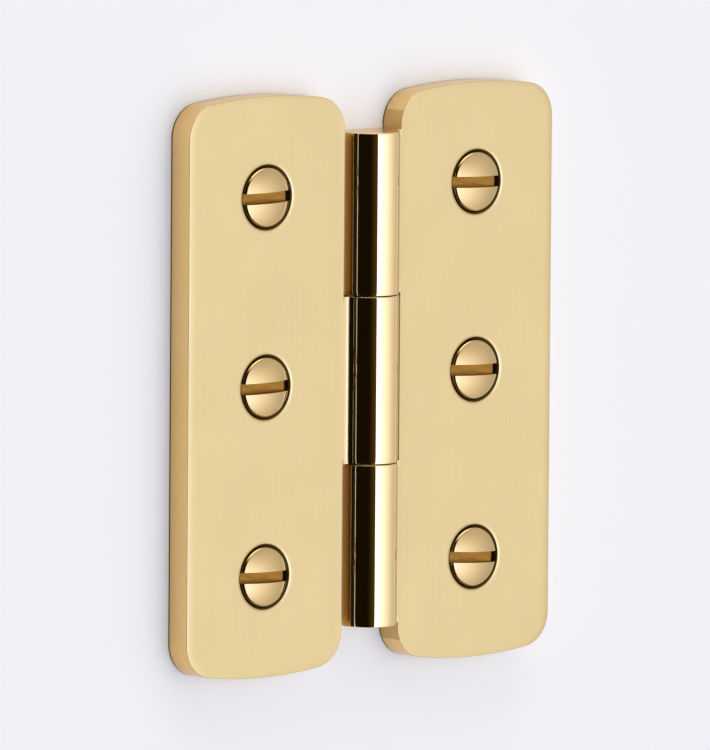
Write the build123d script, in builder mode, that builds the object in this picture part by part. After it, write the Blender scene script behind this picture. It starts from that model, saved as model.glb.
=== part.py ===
from build123d import *
from math import radians, sqrt, tan
import os

# Solid brass surface mount cabinet hinge, 3 by 2-1/2 in, shown open flat on its mounting plane.
# The backs of both leaves lie on y = 0 and their fronts face -Y. Z is up, along the pin.
# The origin is the centre of the frame leaf's back, on the axis of its middle screw.

# Leaves
leaf_height = 76.2
open_width = 63.5
leaf_gap = 9.9
leaf_thickness = 3.8
corner_radius = 4.5
crown_radius = 70.0
front_edge_bevel = 0.3

# Barrel: three knuckles on one pin, planed flush with the backs of the leaves
barrel_radius = 3.9
barrel_length = 65.0
middle_knuckle_length = 22.0
knuckle_gap = 0.12
knuckle_end_bevel = 0.2
web_fillet = 0.6
pin_depth = 3.3

# Pin: driven up from below, tight in the frame leaf's knuckles and free in the door leaf's
pin_radius = 1.6
pin_length = 61.0
pin_lead = 0.4
pin_clearance = 0.05
bore_end_room = 1.0

# Countersunk holes for No. 8 screws, three down the middle of each leaf
screw_pitch = 24.85
hole_radius = 2.25
countersink_radius = 4.3
countersink_angle = 82.0

# Oval head wood screws: 3/4 in long, measured from the head's rim
screw_length = 19.0
shank_radius = 2.08
root_radius = 1.45
point_length = 4.5
head_radius = 3.83
shoulder_radius = 3.6
shoulder_height = 0.17
dome_sphere_radius = 9.2
slot_width = 1.45
slot_floor_depth = 0.68

# How far each slot stands turned from level, clockwise seen from the front, top screw first
door_slot_angles = [-1.4, -1.4, 0.9]
frame_slot_angles = [1.5, 1.5, 2.9]

# Places worked out from the sizes above
leaf_width = (open_width - leaf_gap) / 2
pin_x = -(leaf_gap + leaf_width) / 2
front_y = -leaf_thickness
barrel_end = barrel_length / 2
middle_end = middle_knuckle_length / 2
outer_start = middle_end + knuckle_gap
crown_centre = leaf_height / 2 - crown_radius
pin_bottom = -barrel_end

# The head's cone has the countersink's angle and is smaller, so its rim seats below the face
head_slope = tan(radians(countersink_angle / 2))
head_rim_y = front_y + (countersink_radius - head_radius) / head_slope
neck_y = head_rim_y + (head_radius - shank_radius) / head_slope
tip_y = head_rim_y + screw_length

# The dome is a shallow cap of a sphere that meets the top of the head's shoulder
shoulder_y = front_y - shoulder_height
dome_rise = dome_sphere_radius - sqrt(dome_sphere_radius**2 - shoulder_radius**2)
dome_y = shoulder_y - dome_rise
shoulder_slope = (head_radius - shoulder_radius) / (head_rim_y - shoulder_y)
blank_radius = shoulder_radius - 1.5 * dome_rise * shoulder_slope

# Where the front of a knuckle's round meets the web that joins it to its plate
web_corner_x = sqrt(barrel_radius**2 - (leaf_thickness - pin_depth) ** 2)


def build_leaf(side, knuckles, bore_radius, bore_bottom, bore_top):
    """One leaf: a crowned plate, its own knuckles and their webs, the pin bore, the screw holes.

    side is 1 for the leaf to the right of the pin and -1 for the one to its left.
    knuckles lists the lower and upper end of each knuckle.
    """
    centre_x = pin_x + side * (leaf_gap + leaf_width) / 2
    inner_x = pin_x + side * leaf_gap / 2
    back_plane = Plane(origin=(centre_x, 0, 0), x_dir=(1, 0, 0), z_dir=(0, -1, 0))

    # Plate: ends crowned by large arcs, corners rounded into them, front edges eased
    with BuildPart() as plate:
        with BuildSketch(back_plane) as outline:
            Rectangle(leaf_width, leaf_height)
            for end in (1, -1):
                with Locations((0, end * crown_centre)):
                    Circle(crown_radius, mode=Mode.INTERSECT)
            fillet(outline.vertices(), corner_radius)
        extrude(amount=leaf_thickness)
        chamfer(plate.faces().sort_by(Axis.Y)[0].edges(), front_edge_bevel)

    with BuildPart() as leaf:
        # Knuckles: round in front, cut flush at the back, filleted into a web as thick as the plate
        web_x = inner_x + side * 2 * front_edge_bevel
        for low, high in knuckles:
            with BuildSketch(Plane.XY.offset(low)) as knuckle:
                with Locations((pin_x, -pin_depth)):
                    Circle(barrel_radius)
                with Locations(((pin_x + web_x) / 2, -leaf_thickness / 2)):
                    Rectangle(abs(web_x - pin_x), leaf_thickness)
                with Locations((pin_x, barrel_radius / 2)):
                    Rectangle(2 * barrel_radius, barrel_radius, mode=Mode.SUBTRACT)
                web_corner = Vector(pin_x + side * web_corner_x, front_y)
                fillet(knuckle.vertices().sort_by_distance(web_corner)[0], web_fillet)
            extrude(amount=high - low)
        ends = leaf.edges().filter_by(GeomType.CIRCLE).filter_by(
            lambda edge: abs(edge.radius - barrel_radius) < 0.01
        )
        chamfer(ends, knuckle_end_bevel)
        add(plate.part)

        # Bore for the pin
        with BuildSketch(Plane.XY.offset(bore_bottom)):
            with Locations((pin_x, -pin_depth)):
                Circle(bore_radius)
        extrude(amount=bore_top - bore_bottom, mode=Mode.SUBTRACT)

        # Countersunk screw holes down the middle of the plate
        with Locations(back_plane.offset(leaf_thickness)):
            with GridLocations(screw_pitch, screw_pitch, 1, 3):
                CounterSinkHole(
                    hole_radius, countersink_radius, counter_sink_angle=countersink_angle
                )
    return leaf


# Frame leaf: top and bottom knuckles, and the pin's blind bore, open at the bottom
frame_leaf = build_leaf(
    side=1,
    knuckles=[(-barrel_end, -outer_start), (outer_start, barrel_end)],
    bore_radius=pin_radius,
    bore_bottom=pin_bottom,
    bore_top=pin_bottom + pin_length + bore_end_room,
)

# Door leaf: the middle knuckle, bored to turn freely on the pin
door_leaf = build_leaf(
    side=-1,
    knuckles=[(-middle_end, middle_end)],
    bore_radius=pin_radius + pin_clearance,
    bore_bottom=-middle_end,
    bore_top=middle_end,
)

# Pin: a plain brass rod with a lead at its upper end, flush with the bottom of the barrel
with BuildPart() as hinge_pin:
    with BuildSketch(Plane.XY.offset(pin_bottom)):
        with Locations((pin_x, -pin_depth)):
            Circle(pin_radius)
    extrude(amount=pin_length)
    chamfer(hinge_pin.faces().sort_by(Axis.Z)[-1].edges(), pin_lead)


def build_screw(screw_x, screw_z, slot_angle):
    """One slotted oval head wood screw, turned about its own axis and seated in its hole."""
    with BuildPart() as screw:
        # Head: its cone, and the shoulder's slope carried on up, domed by a sphere
        with BuildSketch(Plane.XY.offset(screw_z)):
            with BuildLine():
                Polyline(
                    (screw_x, shoulder_y - 1.5 * dome_rise),
                    (screw_x + blank_radius, shoulder_y - 1.5 * dome_rise),
                    (screw_x + head_radius, head_rim_y),
                    (screw_x + shank_radius, neck_y),
                    (screw_x, neck_y),
                    close=True,
                )
            make_face()
        revolve(axis=Axis((screw_x, 0, screw_z), (0, 1, 0)))
        with Locations((screw_x, dome_y + dome_sphere_radius, screw_z)):
            Sphere(dome_sphere_radius, mode=Mode.INTERSECT)

        # Shank in the leaf, then the threaded length at its root size, and the point
        with BuildSketch(Plane.XY.offset(screw_z)):
            with BuildLine():
                Polyline(
                    (screw_x, neck_y),
                    (screw_x + shank_radius, neck_y),
                    (screw_x + shank_radius, 0),
                    (screw_x + root_radius, 0),
                    (screw_x + root_radius, tip_y - point_length),
                    (screw_x, tip_y),
                    close=True,
                )
            make_face()
        revolve(axis=Axis((screw_x, 0, screw_z), (0, 1, 0)))

        # Saw-cut slot right across the head
        slot_plane = Plane(
            origin=(screw_x, front_y + slot_floor_depth, screw_z),
            x_dir=(1, 0, 0),
            z_dir=(0, -1, 0),
        )
        with BuildSketch(slot_plane):
            Rectangle(2.5 * head_radius, slot_width, rotation=-slot_angle)
        extrude(amount=leaf_thickness, mode=Mode.SUBTRACT)
    return screw


os.makedirs("parts", exist_ok=True)

frame_leaf.part.label = "frame_leaf"
export_step(frame_leaf.part, "parts/frame_leaf.step")

door_leaf.part.label = "door_leaf"
export_step(door_leaf.part, "parts/door_leaf.step")

hinge_pin.part.label = "hinge_pin"
export_step(hinge_pin.part, "parts/hinge_pin.step")

# Three screws in each leaf, all alike but for the way their slots stand
screw_rows = [
    ("door", 2 * pin_x, door_slot_angles),
    ("frame", 0.0, frame_slot_angles),
]
screw_heights = [("top", screw_pitch), ("middle", 0.0), ("bottom", -screw_pitch)]
for row_name, row_x, slot_angles in screw_rows:
    for (place, height), angle in zip(screw_heights, slot_angles):
        screw = build_screw(row_x, height, angle)
        name = f"{row_name}_screw_{place}"
        screw.part.label = name
        export_step(screw.part, f"parts/{name}.step")
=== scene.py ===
import math

import bmesh
import bpy
from mathutils import Matrix, Vector
from mathutils.geometry import tessellate_polygon


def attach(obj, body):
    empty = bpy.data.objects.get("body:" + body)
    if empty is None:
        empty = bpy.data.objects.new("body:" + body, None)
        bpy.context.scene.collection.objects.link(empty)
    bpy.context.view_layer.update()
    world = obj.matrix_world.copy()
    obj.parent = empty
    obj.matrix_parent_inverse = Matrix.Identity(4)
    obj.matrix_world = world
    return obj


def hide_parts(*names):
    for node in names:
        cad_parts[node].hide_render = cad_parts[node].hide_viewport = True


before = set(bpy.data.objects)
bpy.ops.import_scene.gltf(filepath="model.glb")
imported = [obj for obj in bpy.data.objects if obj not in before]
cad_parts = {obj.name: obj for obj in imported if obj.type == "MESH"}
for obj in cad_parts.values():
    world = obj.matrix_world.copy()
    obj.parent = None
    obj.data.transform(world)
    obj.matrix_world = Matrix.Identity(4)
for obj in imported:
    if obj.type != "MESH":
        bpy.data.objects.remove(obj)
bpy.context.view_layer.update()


# Camera: a long lens, far off, a little above the hinge and well to its left.
# The eye's place and turn were solved from edges of the hinge measured in the photograph.
# Here as in every section, sizes are in millimetres, and mm brings them to metres.
mm = 0.001
pin_x = -18.35
sight_yaw = math.radians(41.7082)
sight_pitch = math.radians(6.0278)
sight_roll = math.radians(0.4238)
eye_distance = 2164.3
eye_right, eye_up = 0.388, 0.121
film_height, lens_length = 36, 792
nearest_seen, farthest_seen = 100, 20000

sight = Vector((
    math.sin(sight_yaw) * math.cos(sight_pitch),
    math.cos(sight_yaw) * math.cos(sight_pitch),
    -math.sin(sight_pitch),
))
level_right = Vector((math.cos(sight_yaw), -math.sin(sight_yaw), 0))
level_up = level_right.cross(sight)
image_right = level_right * math.cos(sight_roll) + level_up * math.sin(sight_roll)
image_up = image_right.cross(sight)

camera_data = bpy.data.cameras.new("camera")
camera_data.sensor_fit = "VERTICAL"
camera_data.sensor_height = film_height
camera_data.lens = lens_length
camera_data.clip_start = nearest_seen * mm
camera_data.clip_end = farthest_seen * mm
camera = bpy.data.objects.new("camera", camera_data)
bpy.context.scene.collection.objects.link(camera)
eye = Vector((pin_x, 0, 0)) - sight * eye_distance + image_right * eye_right + image_up * eye_up
turn = Matrix((image_right, image_up, -sight)).transposed()
camera.matrix_world = Matrix.Translation(eye * mm) @ turn.to_4x4()
bpy.context.scene.camera = camera


# Card: the plain white board that the backs of the leaves lie on, a hair behind them.
# It is matt and one-sided: from behind it is clear, and a ray that starts within half a
# millimetre of it passes, so the backs of the leaves and the screws' points are lit there too.
def linear(hex_colour):
    """An sRGB hex colour as the linear red, green, blue and alpha that a shader takes."""
    parts = [int(hex_colour[i:i + 2], 16) / 255 for i in (1, 3, 5)]
    bent = [c / 12.92 if c <= 0.04045 else ((c + 0.055) / 1.055) ** 2.4 for c in parts]
    return (*bent, 1.0)


def node(tree, kind, inputs=(), **settings):
    """Adds one shader node. inputs pairs a socket with a value or with another node's output."""
    added = tree.nodes.new(kind)
    for name, value in settings.items():
        setattr(added, name, value)
    for socket, value in dict(inputs).items():
        if isinstance(value, bpy.types.NodeSocket):
            tree.links.new(value, added.inputs[socket])
        else:
            added.inputs[socket].default_value = value
    return added


white_card = linear("#F0F2F5")
card_gap, clear_within = 0.02, 0.5
card_reach = 1500

card_mesh = bpy.data.meshes.new("card")
card_mesh.from_pydata(
    [(x * card_reach * mm, card_gap * mm, z * card_reach * mm)
     for x, z in ((-1, -1), (1, -1), (1, 1), (-1, 1))],
    [], [(0, 1, 2, 3)],
)
card = bpy.data.objects.new("card", card_mesh)
bpy.context.scene.collection.objects.link(card)

# Matt white card: it shows a little brighter than it is lit, to the camera and in the brass
card_lift = 0.27
card_paint = bpy.data.materials.new("matt_white_card")
card_paint.use_nodes = True
tree = card_paint.node_tree
tree.nodes.clear()
matt = node(tree, "ShaderNodeBsdfDiffuse", {"Color": white_card})
path = node(tree, "ShaderNodeLightPath")
seen = node(tree, "ShaderNodeMath", {
    0: path.outputs["Is Camera Ray"], 1: path.outputs["Is Glossy Ray"],
}, operation="MAXIMUM")
lift = node(tree, "ShaderNodeMath", {0: seen.outputs[0], 1: card_lift}, operation="MULTIPLY")
glow = node(tree, "ShaderNodeEmission", {"Color": white_card, "Strength": lift.outputs[0]})
lit = node(tree, "ShaderNodeAddShader", {0: matt.outputs[0], 1: glow.outputs[0]})
side = node(tree, "ShaderNodeNewGeometry")
near = node(tree, "ShaderNodeMath", {
    0: path.outputs["Ray Length"], 1: clear_within * mm,
}, operation="LESS_THAN")
open_side = node(tree, "ShaderNodeMath", {
    0: side.outputs["Backfacing"], 1: near.outputs[0],
}, operation="MAXIMUM")
clear = node(tree, "ShaderNodeBsdfTransparent")
card_mix = node(tree, "ShaderNodeMixShader", {
    0: open_side.outputs[0], 1: lit.outputs[0], 2: clear.outputs[0],
})
node(tree, "ShaderNodeOutputMaterial", {"Surface": card_mix.outputs[0]})
card_mesh.materials.append(card_paint)


# Light: one tall softbox in front, from a little left of ahead round to the right, and a soft
# light overhead. The studio's left side is dark, but for a dim warm brown beside the softbox.
# The half of the studio behind the hinge is softly lit.

# Bearings are in degrees to the right of straight ahead, and rises in degrees above level
softbox_left, softbox_right, softbox_blur = -12, 80, 0.6
softbox_foot = (-62, -48)
core_rise, core_reach, core_falloff = -12, (8, 50), 1.5
overhead_reach = (45, 70)
dusk_left = -42

# Strengths, where 1 is white, and the share of the softbox's light that is left at its foot
softbox_peak, softbox_far, softbox_below = 2.85, 0.72, 0.3
core_colour, far_colour = linear("#D8E0FF"), linear("#FFF7E9")
dark_room, dusk_by_softbox = 0.009, 0.07
dusk_colour = linear("#FFCB6C")
behind_light, overhead_light = 0.54, 2.4

# A Mix node's two colour inputs and its colour output
mix_from, mix_to, mixed = 6, 7, 2

world = bpy.data.worlds.new("studio")
bpy.context.scene.world = world
world.use_nodes = True
tree = world.node_tree
tree.nodes.clear()
where = node(tree, "ShaderNodeTexCoord")
axes = node(tree, "ShaderNodeSeparateXYZ", {0: where.outputs["Generated"]})
ahead = node(tree, "ShaderNodeMath", {0: axes.outputs["Y"], 1: -1.0}, operation="MULTIPLY")
bearing = node(tree, "ShaderNodeMath", {
    0: axes.outputs["X"], 1: ahead.outputs[0],
}, operation="ARCTAN2")
rise = node(tree, "ShaderNodeMath", {0: axes.outputs["Z"]}, operation="ARCSINE")

# The softbox is brightest in a core at its left edge, a little below level
from_core = node(tree, "ShaderNodeMath", {0: rise.outputs[0], 1: -math.radians(core_rise)})
off_core = node(tree, "ShaderNodeMath", {0: from_core.outputs[0]}, operation="ABSOLUTE")
near_level = node(tree, "ShaderNodeMapRange", {
    "Value": off_core.outputs[0], "From Min": math.radians(core_reach[0]),
    "From Max": math.radians(core_reach[1]), "To Min": 1.0, "To Max": 0.0,
}, interpolation_type="SMOOTHSTEP")
near_left = node(tree, "ShaderNodeMapRange", {
    "Value": bearing.outputs[0], "From Min": math.radians(softbox_left),
    "From Max": math.radians(softbox_right), "To Min": 1.0, "To Max": 0.0,
})
near_edge = node(tree, "ShaderNodeMath", {
    0: near_left.outputs[0], 1: core_falloff,
}, operation="POWER")
near_core = node(tree, "ShaderNodeMath", {
    0: near_level.outputs[0], 1: near_edge.outputs[0],
}, operation="MULTIPLY")
spread = node(tree, "ShaderNodeMath", {
    0: near_core.outputs[0], 1: softbox_peak - softbox_far, 2: softbox_far,
}, operation="MULTIPLY_ADD")
softbox_edge = node(tree, "ShaderNodeMapRange", {
    "Value": bearing.outputs[0],
    "From Min": math.radians(softbox_left - softbox_blur),
    "From Max": math.radians(softbox_left + softbox_blur),
}, interpolation_type="SMOOTHSTEP")
above_foot = node(tree, "ShaderNodeMapRange", {
    "Value": rise.outputs[0], "From Min": math.radians(softbox_foot[0]),
    "From Max": math.radians(softbox_foot[1]), "To Min": softbox_below,
}, interpolation_type="SMOOTHSTEP")
tall = node(tree, "ShaderNodeMath", {
    0: spread.outputs[0], 1: above_foot.outputs[0],
}, operation="MULTIPLY")
softbox = node(tree, "ShaderNodeMath", {
    0: tall.outputs[0], 1: softbox_edge.outputs[0],
}, operation="MULTIPLY")

# Where the softbox, the overhead light and the light behind overlap, the brightest counts
overhead = node(tree, "ShaderNodeMapRange", {
    "Value": rise.outputs[0], "From Min": math.radians(overhead_reach[0]),
    "From Max": math.radians(overhead_reach[1]), "To Max": overhead_light,
}, interpolation_type="SMOOTHSTEP")
is_behind = node(tree, "ShaderNodeMath", {0: axes.outputs["Y"], 1: 0.0}, operation="GREATER_THAN")
behind = node(tree, "ShaderNodeMath", {
    0: is_behind.outputs[0], 1: behind_light,
}, operation="MULTIPLY")
in_front = node(tree, "ShaderNodeMath", {
    0: softbox.outputs[0], 1: overhead.outputs[0],
}, operation="MAXIMUM")
room = node(tree, "ShaderNodeMath", {
    0: in_front.outputs[0], 1: behind.outputs[0],
}, operation="MAXIMUM")

# The dusk lies left of the softbox and fades to the dark of the room
dusk = node(tree, "ShaderNodeMapRange", {
    "Value": bearing.outputs[0],
    "From Min": math.radians(dusk_left), "From Max": math.radians(softbox_left),
    "To Min": dark_room, "To Max": dusk_by_softbox,
}, interpolation_type="SMOOTHSTEP")
left_side = node(tree, "ShaderNodeMath", {
    0: 1.0, 1: softbox_edge.outputs[0],
}, operation="SUBTRACT")
dusk_light = node(tree, "ShaderNodeMath", {
    0: dusk.outputs[0], 1: left_side.outputs[0],
}, operation="MULTIPLY")

softbox_colour = node(tree, "ShaderNodeMix", {
    "Factor": near_core.outputs[0], mix_from: far_colour, mix_to: core_colour,
}, data_type="RGBA")
bright = node(tree, "ShaderNodeBackground", {
    "Color": softbox_colour.outputs[mixed], "Strength": room.outputs[0],
})
dim = node(tree, "ShaderNodeBackground", {
    "Color": dusk_colour, "Strength": dusk_light.outputs[0],
})
studio_light = node(tree, "ShaderNodeAddShader", {0: bright.outputs[0], 1: dim.outputs[0]})
path = node(tree, "ShaderNodeLightPath")
backdrop = node(tree, "ShaderNodeBackground", {"Color": white_card, "Strength": 1.0})
world_mix = node(tree, "ShaderNodeMixShader", {
    0: path.outputs["Is Camera Ray"], 1: studio_light.outputs[0], 2: backdrop.outputs[0],
})
node(tree, "ShaderNodeOutputWorld", {"Surface": world_mix.outputs[0]})
bpy.context.scene.view_settings.view_transform = "Standard"


# Leaves: two crowned plates of extruded brass, each with its knuckles of the barrel.
# The faces are brushed upright to a satin, the barrel is buffed bright, the edges are milled.
# Three countersunk screws hold each leaf to the wood.
leaf_height, leaf_width, leaf_thickness = 76.2, 26.8, 3.8
corner_radius, crown_radius = 4.5, 70.0
barrel_radius, pin_depth, inner_edge = 3.9, 3.3, 4.95
barrel_end, middle_end, outer_start = 32.5, 11.0, 11.12
web_fillet, knuckle_round = 1.0, 0.1
screw_pitch, hole_radius, countersink_radius, rim_round = 24.85, 2.25, 4.3, 1.0
countersink_angle = 82
countersink_slope = math.tan(math.radians(countersink_angle / 2))
pin_radius, pin_clearance = 1.6, 0.05
blind_end, bore_overrun = 29.5, 1
back_ease, edge_corner = 0.12, 0.06

# Polishing lowers a face's rim and a knuckle's ends, and leaves a face proud by the barrel. Each
# goes with how far in it reaches.
edge_drop, drop_reach = 0.085, 1.4
polish_depth, polish_reach = 0.05, 1.0
edge_lift, lift_reach = 0.018, 1.6

# Painted shade, with a little tarnish, reaches this far up the edges from the wood, and this far
# out from a hole's centre
painted_shade_foot, painted_shade_hole_reach = 0.3, 4.3

# How many straight sides stand for the round of a hole or the barrel, and of the thin pin. An
# edge that turns by less than the sharp angle, in degrees, is shaded smooth.
ring_steps, rod_steps, sharp_angle = 96, 64, 32


def arc(centre, radius, start, end, steps):
    """Points on an arc, from one angle to another in degrees, each with its outward normal."""
    points = []
    for i in range(steps + 1):
        angle = math.radians(start + (end - start) * i / steps)
        out = (math.cos(angle), math.sin(angle))
        points.append(((centre[0] + radius * out[0], centre[1] + radius * out[1]), out))
    return points


def plate_outline():
    """The leaf's outline about its own centre: crowned ends run into rounded corners."""
    corner_x = leaf_width / 2 - corner_radius
    crown_z = leaf_height / 2 - crown_radius
    corner_z = crown_z + math.sqrt((crown_radius - corner_radius) ** 2 - corner_x**2)
    tilt = math.degrees(math.atan2(corner_x, corner_z - crown_z))
    top = arc((corner_x, corner_z), corner_radius, 0, 90 - tilt, steps=16)
    top += arc((0, crown_z), crown_radius, 90 - tilt, 90 + tilt, steps=16)[1:-1]
    top += arc((-corner_x, corner_z), corner_radius, 90 + tilt, 180, steps=16)
    bottom = [((-x, -z), (-nx, -nz)) for (x, z), (nx, nz) in top]
    return top + bottom


def bridge(mesh, lower, upper):
    """Joins two closed rings of vertices with faces."""
    count = len(lower)
    for i in range(count):
        j = (i + 1) % count
        mesh.faces.new((lower[i], lower[j], upper[j], upper[i]))


def cap(mesh, rings):
    """Closes a flat face, whose first ring is its outside and whose others are holes in it."""
    corners = [vertex for ring in rings for vertex in ring]
    for triangle in tessellate_polygon([[vertex.co for vertex in ring] for ring in rings]):
        if len(set(triangle)) == 3:
            mesh.faces.new([corners[i] for i in triangle])


def finish_mesh(mesh, name):
    """Turns every face outward and gives a plain mesh, still in millimetres."""
    bmesh.ops.recalc_face_normals(mesh, faces=mesh.faces[:])
    made = bpy.data.meshes.new(name)
    mesh.to_mesh(made)
    mesh.free()
    return made


def quarter(radius, steps):
    """How far in and how far down a rounded edge goes, step by step, from its side to its face."""
    turned = [math.radians(90 * i / steps) for i in range(steps + 1)]
    return [(radius * (1 - math.cos(a)), radius * (1 - math.sin(a))) for a in turned]


def front_edge():
    """The front edge: its small round corner, then places further and further in on the face."""
    inward = (0.15, 0.3, 0.45, 0.65, 0.85, 1.1, 1.4, 1.8, 2.2, 2.6)
    return quarter(edge_corner, steps=4) + [(inset, 0) for inset in inward]


def face_height(inset, facing_barrel):
    """How high the face stands: the wheel rolls it off at the rim and spares it by the barrel."""
    drop = edge_drop * max(0, 1 - inset / drop_reach) ** 3
    lift = edge_lift * max(0, 1 - inset / lift_reach) ** 3
    return leaf_thickness - (1 - facing_barrel) * drop + facing_barrel * lift


def plate_mesh(centre_x, side):
    """A plate with its three holes. side is 1 to the right of the pin and -1 to its left."""
    mesh = bmesh.new()
    outline = plate_outline()
    rings = []
    # The last ring here marks how far up the side the painted shade at the foot reaches
    for inset, height in [*quarter(back_ease, steps=2)[::-1], (0, painted_shade_foot)]:
        rings.append([
            mesh.verts.new((centre_x + x - nx * inset, -height, z - nz * inset))
            for (x, z), (nx, nz) in outline
        ])
    for inset, down in front_edge():
        rings.append([
            mesh.verts.new((
                centre_x + x - nx * inset,
                down - face_height(inset, max(0, -side * nx)),
                z - nz * inset,
            ))
            for (x, z), (nx, nz) in outline
        ])
    for lower, upper in zip(rings, rings[1:]):
        bridge(mesh, lower, upper)

    # Each countersunk hole: a mouth rolled over by polishing, a cone, and a clearance hole
    turn = 90 - math.degrees(math.atan(countersink_slope))
    tangent = rim_round * math.tan(math.radians(turn / 2))
    mouth_centre = (countersink_radius + tangent, leaf_thickness - rim_round)
    section = [point for point, out in arc(mouth_centre, rim_round, 90, 90 + turn, steps=8)]
    seat = leaf_thickness - (countersink_radius - hole_radius) / countersink_slope
    section += [(hole_radius, seat), (hole_radius, back_ease), (hole_radius + back_ease, 0)]
    fronts, backs = [], []
    for row in (-1, 0, 1):
        circles = []
        for radius, height in section:
            circles.append([
                mesh.verts.new((centre_x + x, -height, row * screw_pitch + z))
                for (x, z), out in arc((0, 0), radius, 0, 360, ring_steps)[:-1]
            ])
        for lower, upper in zip(circles, circles[1:]):
            bridge(mesh, lower, upper)
        fronts.append(circles[0])
        backs.append(circles[-1])
    cap(mesh, [rings[-1], *fronts])
    cap(mesh, [rings[0], *backs])
    return finish_mesh(mesh, "plate")


def knuckle_mesh(side, low, high):
    """A knuckle and its web: round in front, flat at the back, run into the plate's edge.

    The flat sides lie a hair inside the plate's, so that the two solids share no plane.
    """
    mesh = bmesh.new()
    hair, overlap, fillet_steps = 0.002, 1.2, 8
    flat = math.asin((pin_depth - hair) / barrel_radius)
    into_plate = inner_edge + overlap

    # The web goes on up the slope that the face has at its edge, then curves into the barrel
    slope = math.atan(3 * edge_lift / lift_reach)
    along = Vector((math.cos(slope), -math.sin(slope)))
    edge_top = Vector((inner_edge, leaf_thickness + edge_lift - hair))
    inside = edge_top + along * (into_plate - inner_edge)
    offset = edge_top + Vector((math.sin(slope), math.cos(slope))) * web_fillet
    offset.y -= pin_depth
    reach = offset.dot(along)
    fillet_reach = math.sqrt(
        reach**2 - offset.length_squared + (barrel_radius + web_fillet) ** 2
    )
    fillet = offset - along * (reach - fillet_reach)
    lean = math.degrees(math.atan2(fillet.y, fillet.x))
    web = arc(
        (fillet.x, fillet.y + pin_depth), web_fillet,
        270 - math.degrees(slope), 180 + lean, fillet_steps,
    )

    # Each point of the section has the way in which the rounds at the ends pull it inward
    section = [((into_plate, hair), (0, -1)), (tuple(inside), (0, 0))]
    section += [
        (point, (-out[0] * i / fillet_steps, -out[1] * i / fillet_steps))
        for i, (point, out) in enumerate(web)
    ]
    section += arc(
        (0, pin_depth), barrel_radius, lean, 180 + math.degrees(flat), ring_steps
    )[1:-1]
    back_corner = (-barrel_radius * math.cos(flat), hair)
    section.append((back_corner, (-math.cos(flat) / (1 + math.sin(flat)), -1)))

    # Towards each end the surface rolls off a little, then turns over a small round
    roll_steps = 4
    end = [
        (polish_depth * (i / roll_steps) ** 2,
         polish_reach + (knuckle_round - polish_reach) * i / roll_steps)
        for i in range(roll_steps)
    ]
    end += [(polish_depth + inset, down) for inset, down in quarter(knuckle_round, steps=3)]
    levels = [(inset, low + down) for inset, down in end[::-1]]
    levels += [(inset, high - down) for inset, down in end]
    rings = []
    for inset, z in levels:
        rings.append([
            mesh.verts.new((pin_x + side * (u - nu * inset), nv * inset - v, z))
            for (u, v), (nu, nv) in section
        ])
    for lower, upper in zip(rings, rings[1:]):
        bridge(mesh, lower, upper)
    cap(mesh, [rings[0]])
    cap(mesh, [rings[-1]])
    return finish_mesh(mesh, "knuckle")


def bore_mesh(radius, low, high):
    """The rod of brass that the drill takes out along the barrel."""
    mesh = bmesh.new()
    ends = []
    for z in (low, high):
        ends.append([
            mesh.verts.new((pin_x + x, y - pin_depth, z))
            for (x, y), out in arc((0, 0), radius, 0, 360, rod_steps)[:-1]
        ])
    bridge(mesh, *ends)
    cap(mesh, [ends[0]])
    cap(mesh, [ends[1]])
    return finish_mesh(mesh, "bore")


def cut_or_join(body, tool, operation):
    """Joins one closed mesh to another, or cuts it away, and gives the new mesh."""
    worked = bpy.data.objects.new("worked", body)
    used = bpy.data.objects.new("used", tool)
    for thing in (worked, used):
        bpy.context.scene.collection.objects.link(thing)
    step = worked.modifiers.new("step", "BOOLEAN")
    step.object = used
    step.operation = operation
    step.solver = "EXACT"
    graph = bpy.context.evaluated_depsgraph_get()
    made = bpy.data.meshes.new_from_object(worked.evaluated_get(graph))
    for thing in (worked, used):
        bpy.data.objects.remove(thing)
    bpy.data.meshes.remove(body)
    bpy.data.meshes.remove(tool)
    return made


def shade(made):
    """Brings a mesh from millimetres to metres, smooths its curves and keeps its edges crisp."""
    made.transform(Matrix.Scale(mm, 4))
    made.shade_smooth()
    made.set_sharp_from_angle(angle=math.radians(sharp_angle))


def placed(made, name):
    """Puts a mesh in the scene as a piece whose flat faces are shaded flat up to their edges."""
    piece = bpy.data.objects.new(name, made)
    bpy.context.scene.collection.objects.link(piece)
    shading = piece.modifiers.new("flat_faces_stay_flat", "WEIGHTED_NORMAL")
    shading.keep_sharp = True
    return piece


# Brass varies in tone over patches of this width, and its lines are this deep. The wax film's
# IOR is above real wax's 1.45, to match the highlights. Lines run along a piece's X or Z axis.
patch_mm, line_depth = 9, 0.01
wax_ior, wax_roughness = 1.7, 0.08
along_x, upright = 0, 2


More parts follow.
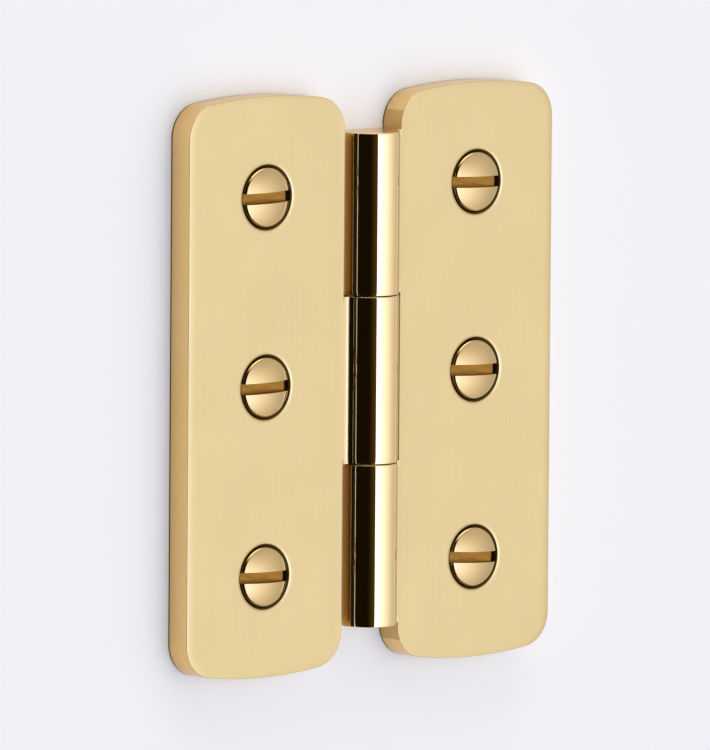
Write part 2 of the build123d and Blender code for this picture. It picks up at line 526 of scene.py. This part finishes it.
def brass(name, colours, roughness, line_mm, line_length_mm, axis, bump, wax=0.0):
    """Brass with fine lines left by its finishing, which run along the given axis.

    The real lines lie a few hundredths of a millimetre apart, which is too fine to show, so
    every finish draws them coarser, 0.12 to 0.35 mm apart.
    """
    made = bpy.data.materials.new(name)
    made.use_nodes = True
    tree = made.node_tree
    tree.nodes.clear()
    place = node(tree, "ShaderNodeTexCoord")
    stretch = [1 / (line_mm * mm)] * 3
    stretch[axis] = 1 / (line_length_mm * mm)
    fine = node(tree, "ShaderNodeMapping", {0: place.outputs["Object"], "Scale": stretch})
    lines = node(tree, "ShaderNodeTexNoise", {
        "Vector": fine.outputs[0], "Scale": 1.0, "Detail": 3.0, "Roughness": 0.6,
    })
    broad = node(tree, "ShaderNodeTexNoise", {
        "Vector": place.outputs["Object"], "Scale": 1 / (patch_mm * mm), "Detail": 2.0,
    })
    tone = node(tree, "ShaderNodeMix", {
        "Factor": broad.outputs["Fac"], mix_from: linear(colours[0]), mix_to: linear(colours[1]),
    }, data_type="RGBA")
    worn = node(tree, "ShaderNodeMapRange", {
        "Value": lines.outputs["Fac"], "From Min": 0.3, "From Max": 0.7,
        "To Min": roughness[0], "To Max": roughness[1],
    })
    relief = node(tree, "ShaderNodeBump", {
        "Height": lines.outputs["Fac"], "Strength": bump, "Distance": line_depth * mm,
    })
    metal = node(tree, "ShaderNodeBsdfPrincipled", {
        "Base Color": tone.outputs[mixed], "Metallic": 1.0,
        "Roughness": worn.outputs[0], "Normal": relief.outputs[0],
        "Coat Weight": wax, "Coat IOR": wax_ior, "Coat Roughness": wax_roughness,
    })
    node(tree, "ShaderNodeOutputMaterial", {"Surface": metal.outputs[0]})
    return made


# Brushed brass: fine upright scratches give the faces an even satin glow.
brushed_face = brass(
    "brushed_brass", ("#D3C193", "#D9C89A"), roughness=(0.18, 0.29),
    line_mm=0.35, line_length_mm=20, axis=upright, bump=0.5,
)

# Buffed brass: a soft wheel has brought the barrel to a near mirror.
buffed_barrel = brass(
    "buffed_brass", ("#ECD6A8", "#F0DAAE"), roughness=(0.04, 0.07),
    line_mm=0.3, line_length_mm=8, axis=upright, bump=0.02,
)

# Milled brass: the cutter has left the edges and backs flat and a little duller than the faces.
milled_edge = brass(
    "milled_brass", ("#E8C280", "#ECC686"), roughness=(0.22, 0.28),
    line_mm=0.3, line_length_mm=3, axis=along_x, bump=0.01,
)

# Dark brown brass: painted shade, with a little tarnish, in the countersinks and along the foot of
# the edges by the wood where the hinge meets the card, a flat brown.
tarnish_and_painted_shade = brass(
    "tarnish_and_painted_shade_brass", ("#4F3E1A", "#5E4C24"), roughness=(0.35, 0.5),
    line_mm=0.3, line_length_mm=0.3, axis=along_x, bump=0.05,
)

# Inner-edge brass: milled brass painted darker on the inner edges that face the barrel, as painted
# shade for the barrel's shadow there.
painted_shade_inner_edge = brass(
    "painted_shade_inner_edge_brass", ("#CAA267", "#CFA86F"), roughness=(0.3, 0.38),
    line_mm=0.3, line_length_mm=3, axis=along_x, bump=0.05,
)

leaf_finishes = [brushed_face, buffed_barrel, milled_edge, tarnish_and_painted_shade, painted_shade_inner_edge]

# How near the middle of a face has to lie to count, and the cosine of how squarely it must look
by_barrel, by_web, by_back, by_front = 0.1, 0.02, 0.001, 0.2
square_on, web_lean, front_lean = 0.9, 0.8, 0.5


def leaf_finish(face, side):
    """Which finish a face of a leaf has, from where it lies and which way it looks."""
    height = -face.center.y
    from_pin = abs(face.center.x - pin_x)
    from_hole = min(
        math.hypot(from_pin - inner_edge - leaf_width / 2, face.center.z - row * screw_pitch)
        for row in (-1, 0, 1)
    )
    on_barrel = math.hypot(from_pin, height - pin_depth) < barrel_radius + by_barrel
    on_web = from_pin < inner_edge - by_web and face.normal.y > -web_lean
    if face.normal.y > square_on:
        return milled_edge
    if abs(face.normal.z) < square_on and (on_barrel or on_web):
        return buffed_barrel
    # Countersinks and the foot of the edges get the dark brown that paints their shade
    if (from_hole < painted_shade_hole_reach and height > by_back) or 0 < height < painted_shade_foot:
        return tarnish_and_painted_shade
    if height > leaf_thickness - by_front and face.normal.y < -front_lean:
        return brushed_face
    # Inner edges facing the barrel get the brass painted darker for the barrel's shade
    if face.normal.x * side < -square_on:
        return painted_shade_inner_edge
    return milled_edge


def leaf(name, side, knuckles, bore):
    """One leaf: its plate, joined by its knuckles and bored for the pin, each face finished."""
    made = plate_mesh(pin_x + side * (inner_edge + leaf_width / 2), side)
    for low, high in knuckles:
        made = cut_or_join(made, knuckle_mesh(side, low, high), "UNION")
    made = cut_or_join(made, bore_mesh(*bore), "DIFFERENCE")
    made.name = name
    for finish in leaf_finishes:
        made.materials.append(finish)
    for face in made.polygons:
        face.material_index = leaf_finishes.index(leaf_finish(face, side))
    shade(made)
    return placed(made, name)


# The frame leaf's bore is blind at its top, and the door leaf's runs right through
frame_plate = leaf(
    "frame_leaf_brass", side=1,
    knuckles=[(-barrel_end, -outer_start), (outer_start, barrel_end)],
    bore=(pin_radius, -barrel_end - bore_overrun, blind_end),
)
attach(frame_plate, "frame")
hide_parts("frame_leaf")

door_plate = leaf(
    "door_leaf_brass", side=-1,
    knuckles=[(-middle_end, middle_end)],
    bore=(pin_radius + pin_clearance, -middle_end - bore_overrun, middle_end + bore_overrun),
)
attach(door_plate, "door")
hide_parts("door_leaf")


# Pin: a drawn brass rod, driven up into the barrel from below and flush with its end.
# It shows as a disc in the bottom knuckle and as a bright line between the knuckles.
pin_length, pin_lead, pin_end_ease = 61.0, 0.4, 0.12


def pin_mesh():
    """The rod about its own Z axis, with its foot eased and a lead at its upper end."""
    section = [
        (pin_radius - pin_end_ease, 0), (pin_radius, pin_end_ease),
        (pin_radius, pin_length - pin_lead), (pin_radius - pin_lead, pin_length),
    ]
    mesh = bmesh.new()
    rings = []
    for radius, height in section:
        rings.append([
            mesh.verts.new((x, y, height))
            for (x, y), out in arc((0, 0), radius, 0, 360, rod_steps)[:-1]
        ])
    for lower, upper in zip(rings, rings[1:]):
        bridge(mesh, lower, upper)
    for ring, height in ((rings[0], 0), (rings[-1], pin_length)):
        tip = mesh.verts.new((0, 0, height))
        for i in range(rod_steps):
            mesh.faces.new((ring[i], ring[(i + 1) % rod_steps], tip))
    return finish_mesh(mesh, "pin_rod")


# Drawn brass: pulled through a die, which leaves faint lines along the rod.
drawn_pin = brass(
    "drawn_brass", ("#D9B673", "#E0C082"), roughness=(0.12, 0.22),
    line_mm=0.12, line_length_mm=6, axis=upright, bump=0.1,
)

pin_made = pin_mesh()
pin_made.materials.append(drawn_pin)
pin_made.transform(Matrix.Translation((pin_x, -pin_depth, -barrel_end)))
shade(pin_made)
pin = placed(pin_made, "pin_rod")
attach(pin, "frame")
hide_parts("hinge_pin")


# Screws: No. 8 slotted oval head wood screws, 19 mm long, of turned brass with a cut thread.
# The head is polished and seated in its countersink; the slot is left as the saw cut it.
# Heights are along a screw's own axis, from the back of the leaf up to its head.
head_radius, head_land, shoulder_round, dome_radius = 3.95, 0.127, 0.45, 9.2
shank_radius, shank_ease, root_radius = 2.08, 0.12, 1.45
tip_height, point_length = -15.74, 4.5
slot_width, slot_floor = 1.45, 3.12
rim_height = leaf_thickness - (countersink_radius - head_radius) / countersink_slope
neck_height = rim_height - (head_radius - shank_radius) / countersink_slope

# Above its rim the head has a short straight land, then turns over its shoulder into the dome
round_centre = (head_radius - shoulder_round, rim_height + head_land)
dome_tilt = math.asin(round_centre[0] / (dome_radius - shoulder_round))
dome_centre = round_centre[1] - (dome_radius - shoulder_round) * math.cos(dome_tilt)

# The thread's ridge is given as the lines along it: how far down the pitch each lies, and
# whether it is on the crest. It starts part of a pitch below the shank, rises to its full
# height, and dies out over the last turns.
thread_radius, thread_pitch, thread_top, thread_stop = 2.06, 1.69, -0.3, 0.35
ridge = [(0.0, 0), (0.3, 0), (0.47, 1), (0.53, 1), (0.7, 0)]
lead_in, rising_turns, fading_turns = 0.25, 0.75, 2.2


def core(height):
    """The radius of the threaded length's core: straight, then tapering to the point."""
    return root_radius * min(1, max(0, (height - tip_height) / point_length))


def screw_mesh():
    """The whole screw about its own axis, with its head towards +Z and no slot yet."""
    mesh = bmesh.new()
    dome_edge = 90 - math.degrees(dome_tilt)
    dome_points = arc((0, dome_centre), dome_radius, 90, dome_edge, steps=16)
    round_points = arc(round_centre, shoulder_round, dome_edge, 0, steps=12)
    section = [point for point, out in dome_points + round_points[1:]]
    section += [
        (head_radius, rim_height), (shank_radius, neck_height), (shank_radius, shank_ease),
        (shank_radius - shank_ease, 0), (root_radius, 0), (root_radius, thread_top),
    ]
    rings = []
    for radius, height in section[1:]:
        rings.append([
            mesh.verts.new((x, y, height))
            for (x, y), out in arc((0, 0), radius, 0, -360, ring_steps)[:-1]
        ])
    for lower, upper in zip(rings, rings[1:]):
        bridge(mesh, lower, upper)
    crown = mesh.verts.new((0, 0, dome_centre + dome_radius))
    for i in range(ring_steps):
        mesh.faces.new((rings[0][i], rings[0][(i + 1) % ring_steps], crown))

    # Thread: one ridge wound round the core, which rises from it and dies out at the point
    start = thread_top - lead_in * thread_pitch
    turns = (start - tip_height - thread_stop) / thread_pitch
    steps = int(turns * ring_steps) - ring_steps
    rising, fading = ring_steps * rising_turns, ring_steps * fading_turns

    def on_thread(i, share, lifted):
        height = start - thread_pitch * (i / ring_steps + share)
        angle = -2 * math.pi * i / ring_steps
        strength = min(1, i / rising, max(0, (steps - i) / fading))
        radius = core(height) + lifted * strength * (thread_radius - root_radius)
        return mesh.verts.new((radius * math.cos(angle), radius * math.sin(angle), height))

    rows = [[on_thread(i, share, lifted) for share, lifted in ridge] for i in range(steps + 1)]
    tail = [on_thread(i, 0, 0) for i in range(steps + 1, steps + ring_steps + 1)]

    # Past the ridge's last line comes the first line of the turn below
    def ridge_vertex(i, k):
        if k == len(ridge):
            i, k = i + ring_steps, 0
        return rows[i][k] if i <= steps else tail[i - steps - 1]

    for i in range(steps):
        for k in range(len(ridge)):
            mesh.faces.new((
                ridge_vertex(i, k), ridge_vertex(i + 1, k),
                ridge_vertex(i + 1, k + 1), ridge_vertex(i, k + 1),
            ))

    # The first turn joins the shank's last ring, and the last turn closes to the point
    last = rings[-1]
    for i in range(ring_steps - 1):
        mesh.faces.new((last[i], last[i + 1], ridge_vertex(i + 1, 0), ridge_vertex(i, 0)))
    mesh.faces.new([
        last[-1], last[0], *rows[0], ridge_vertex(ring_steps, 0), ridge_vertex(ring_steps - 1, 0),
    ])
    point = mesh.verts.new((0, 0, tip_height))
    mesh.faces.new([
        point, ridge_vertex(steps + ring_steps, 0), *rows[steps][::-1], ridge_vertex(steps + 1, 0),
    ])
    for i in range(steps + 1, steps + ring_steps):
        mesh.faces.new((point, ridge_vertex(i, 0), ridge_vertex(i + 1, 0)))
    return finish_mesh(mesh, "screw")


def saw_mesh():
    """The block of brass that the saw takes out for the slot."""
    mesh = bmesh.new()
    place = Matrix.Translation((0, 0, slot_floor + leaf_thickness))
    size = Matrix.Diagonal((3 * head_radius, slot_width, 2 * leaf_thickness, 1))
    bmesh.ops.create_cube(mesh, size=1, matrix=place @ size)
    return finish_mesh(mesh, "saw")


# Polished brass: the head was spun against a polishing cloth and reflects almost like a mirror.
# A film of clear wax over it keeps the highlight whiter than the metal.
polished_head = brass(
    "waxed_polished_brass", ("#CDB179", "#D1B57D"), roughness=(0.08, 0.13),
    line_mm=0.3, line_length_mm=0.3, axis=along_x, bump=0.03, wax=1.0,
)

# Sawn brass: the saw's teeth left rough marks along the slot.
sawn_slot = brass(
    "sawn_brass", ("#99702C", "#AB8140"), roughness=(0.25, 0.6),
    line_mm=0.3, line_length_mm=2.5, axis=along_x, bump=1.0,
)

# Cut brass: the shank and thread are as the lathe and the thread tool left them.
cut_thread = brass(
    "cut_brass", ("#CFA963", "#D8B572"), roughness=(0.22, 0.34),
    line_mm=0.15, line_length_mm=0.15, axis=along_x, bump=0.15,
)

screw_finishes = [polished_head, sawn_slot, cut_thread]


def screw_finish(face):
    """Which finish a face of the screw has: the slot's walls and floor, the head, or the rest."""
    touch, flat = 0.01, 0.99
    is_wall = abs(face.normal.y) > flat
    is_floor = face.normal.z > flat and face.center.z < slot_floor + touch
    in_slot = abs(face.center.y) < slot_width / 2 + touch and face.center.z > slot_floor - touch
    if in_slot and (is_wall or is_floor):
        return sawn_slot
    return polished_head if face.center.z > neck_height else cut_thread


screw_made = cut_or_join(screw_mesh(), saw_mesh(), "DIFFERENCE")
screw_made.name = "oval_head_screw"
for finish in screw_finishes:
    screw_made.materials.append(finish)
for face in screw_made.polygons:
    face.material_index = screw_finishes.index(screw_finish(face))
shade(screw_made)

# How far each slot stands turned from level, in degrees clockwise, top screw first
slot_turns = {"door": (-1.4, -1.4, 0.9), "frame": (1.5, 1.5, 2.9)}
row_x = {"door": 2 * pin_x, "frame": 0.0}
for body in ("frame", "door"):
    for place, height, slot_turn in zip(
        ("top", "middle", "bottom"), (screw_pitch, 0, -screw_pitch), slot_turns[body]
    ):
        screw = placed(screw_made, f"{body}_screw_{place}_brass")
        face_front = Matrix.Rotation(math.radians(90), 4, "X")
        clockwise = Matrix.Rotation(-math.radians(slot_turn), 4, "Z")
        screw.matrix_world = (
            Matrix.Translation((row_x[body] * mm, 0, height * mm)) @ face_front @ clockwise
        )
        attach(screw, body)
        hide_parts(f"{body}_screw_{place}")
